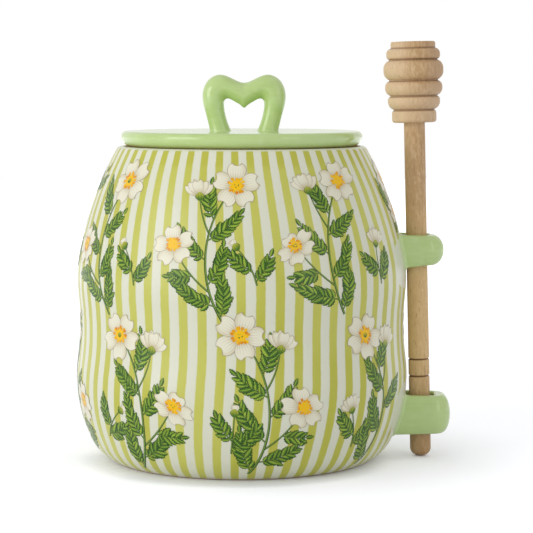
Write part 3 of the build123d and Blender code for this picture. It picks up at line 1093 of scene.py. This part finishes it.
def mix_beech():
    wood = Finish("turned_beech", IOR=1.45, Specular_IOR_Level=0.35)
    moved = wood.node("Mapping", {"Vector": wood.place(), "Location": (-tip_x, 0, 0)}).outputs[0]
    upright = wood.turn(moved, lean)
    askew = wood.turn(upright, ASKEW)
    x, y, z = wood.axes(upright)
    late = growth_rings(wood, upright, x, y)
    fibre = wood.noise(wood.stretch(askew, 0.09), 1300, 4, 0.6)
    blotch = wood.noise(wood.stretch(upright, 0.45), 170, 3, 0.6)
    mottle = wood.noise(wood.stretch(askew, 0.4), 950, 3, 0.7)
    fleck = wood.fade(wood.noise(wood.stretch(askew, 0.22), 1700, 1), 0.64, 0.72)

    colour = wood.blend(wood.fade(fibre, 0.15, 0.85), BEECH_LATE, BEECH)
    washes = (
        (BEECH_LATE, late, 0.32),
        (BEECH_LATE, wood.fade(blotch, 0.46, 0.7), 0.4),
        (BEECH_LATE, wood.fade(mottle, 0.5, 0.62), 0.4),
        (BEECH_PALE_AND_LIT, wood.fade(mottle, 0.5, 0.38), 0.35),
        # Painted shade on the stick's right side, away from the key box, and painted light on its
        # left side.
        (BEECH_PINK_SHADE, wood.fade(x, 2 * MM, 8 * MM), 0.6),
        (BEECH_PALE_AND_LIT, wood.fade(x, 1 * MM, -8 * MM), 0.75),
        # Painted light along the middle of the stick.
        (BEECH_STRAW_LIT, wood.band(z, *LIT_STRAW_BAND), 0.55),
        (BEECH_LATE, wood.fade(z, *BROWN_TIP), 0.45),
        (BEECH_PALE_AND_LIT, wood.band(z, *NECK_BAND), 0.45),
        (BEECH_FLECK, fleck, 0.36),
    )
    for tone, share, strength in washes:
        colour = wood.wash(colour, tone, share, strength)
    # The grooves and the shaft's turned rings get painted shade.
    wood.colour(paint_groove_shade(wood, colour, x, y, z))
    wood.roughness(wood.calc("ADD", 0.5, wood.product(late, 0.1)))
    wood.bump(wood.calc("SUBTRACT", fibre, wood.product(fleck, 0.5)), 0.05 * MM)
    return wood


dress("dipper", mix_beech())

# %% [markdown]
# ## The studio
#
# White ware on white paper is lit by one large soft box at the front left, a weaker one at the
# right, and the light that the paper throws back from all round. The floor has to render pure white
# and still keep the pot's soft shadow. More light would wash out the pot, so the paper glows a
# little, and only for rays that come from the camera or from a reflection.
#
# The glow stands for light from behind and from the left. Where something near shelters the paper
# on those sides it fades, by ambient occlusion with a fixed direction. That makes the pot and the
# dipper stand on the paper and not float over it.

# %% Lay the paper
PAPER = (0.85, 0.86, 0.92)
PAPER_SIZE = 14  # half its width, over the longest side of the object
PAPER_GLOW = 0.49
GLOW_SPREAD = (0.16, 0.9)  # metres from the pot over which the paper's glow rises to full white
BEHIND = (0.0, 0.93, 0.36)  # the way that a spot looks for shelter behind it
LEFT = (-0.75, 0.15, 0.65)
NEAR_REACH = 12 * MM  # how near a thing behind a spot must be to shade the paper's glow there
NEAR_FADE = (0.16, 0.97)  # how open a spot must be to keep none of its glow, and all of it
WIDE_REACH = 55 * MM  # the same for a thing at the left of it
WIDE_FADE = (0.4, 1.0)
WIDE_SHADE = 0.32  # how much of the glow a thing at the left can take


def seen_or_mirrored(tree):
    """1 for a ray from the camera, or off or through something shiny, and 0 for any other."""
    path = tree.nodes.new("ShaderNodeLightPath")
    total = path.outputs["Is Camera Ray"]
    for kind in ("Is Glossy Ray", "Is Transmission Ray"):
        either = tree.nodes.new("ShaderNodeMath")
        either.operation = "MAXIMUM"
        tree.links.new(total, either.inputs[0])
        tree.links.new(path.outputs[kind], either.inputs[1])
        total = either.outputs[0]
    return total


def openness(white, way, reach):
    """How open the paper is to a way, from 0 to 1, as far as things within reach go."""
    looks = white.node("CombineXYZ", {0: way[0], 1: way[1], 2: way[2]}).outputs[0]
    return white.node("AmbientOcclusion", {"Distance": reach, "Normal": looks}).outputs["AO"]


def paper_glow(white):
    """How brightly each spot of the paper glows."""
    away = white.node("VectorMath", {0: white.place()}, operation="LENGTH").outputs["Value"]
    far = white.fade(away, *GLOW_SPREAD)
    level = white.calc("ADD", PAPER_GLOW, white.product(far, 1 - PAPER_GLOW))
    near = white.fade(openness(white, BEHIND, NEAR_REACH), *NEAR_FADE)
    wide = white.product(white.fade(openness(white, LEFT, WIDE_REACH), *WIDE_FADE), WIDE_SHADE)
    unshaded = white.calc("MINIMUM", near, white.calc("ADD", 1 - WIDE_SHADE, wide))
    return white.product(seen_or_mirrored(white.tree), level, unshaded)


def lay_paper():
    span = max(high - low for low, high in zip(*cad_box)) * PAPER_SIZE
    corners = [(-span, -span, 0), (span, -span, 0), (span, span, 0), (-span, span, 0)]
    sheet = bpy.data.meshes.new("paper")
    sheet.from_pydata(corners, [], [(0, 1, 2, 3)])
    paper = put("paper", sheet)
    white = Finish("white_paper", Roughness=0.9, Specular_IOR_Level=0.0)
    white.colour((*PAPER, 1))
    white.feed(white.shader.inputs["Emission Color"], (1, 1, 1, 1))
    white.feed(white.shader.inputs["Emission Strength"], paper_glow(white))
    sheet.materials.append(white.material)
    print("the paper is", round(2 * span, 1), "m across")


lay_paper()

# %% Hang the lights
KEY = {"place": (-0.90, -0.60, 0.36), "size": (0.68, 0.65), "watts": 4.7}
FILL = {"place": (0.9, -0.85, 0.35), "size": (0.4, 0.9), "watts": 1.4}
AMBIENT = 0.58


def light_the_air():
    """The air is pure white where it is seen, and AMBIENT bright where it only lights things."""
    world = bpy.data.worlds.new("studio_air")
    bpy.context.scene.world = world
    world.use_nodes = True
    sky = world.node_tree.nodes["Background"]
    sky.inputs["Color"].default_value = (1, 1, 1, 1)
    strength = world.node_tree.nodes.new("ShaderNodeMapRange")
    strength.inputs["To Min"].default_value = AMBIENT
    world.node_tree.links.new(seen_or_mirrored(world.node_tree), strength.inputs["Value"])
    world.node_tree.links.new(strength.outputs[0], sky.inputs["Strength"])


def hang_light(name, place, size, watts):
    box = bpy.data.lights.new(name, "AREA")
    box.shape = "RECTANGLE"
    box.size, box.size_y = size
    box.energy = watts
    lamp = put(name, box)
    lamp.location = place
    middle = (cad_box[0] + cad_box[1]) / 2
    lamp.rotation_euler = (middle - lamp.location).to_track_quat("-Z", "Y").to_euler()
    print(name, "shines with", watts, "watts")


light_the_air()
hang_light("key_box", **KEY)
hang_light("fill_box", **FILL)
bpy.context.scene.view_settings.view_transform = "Standard"
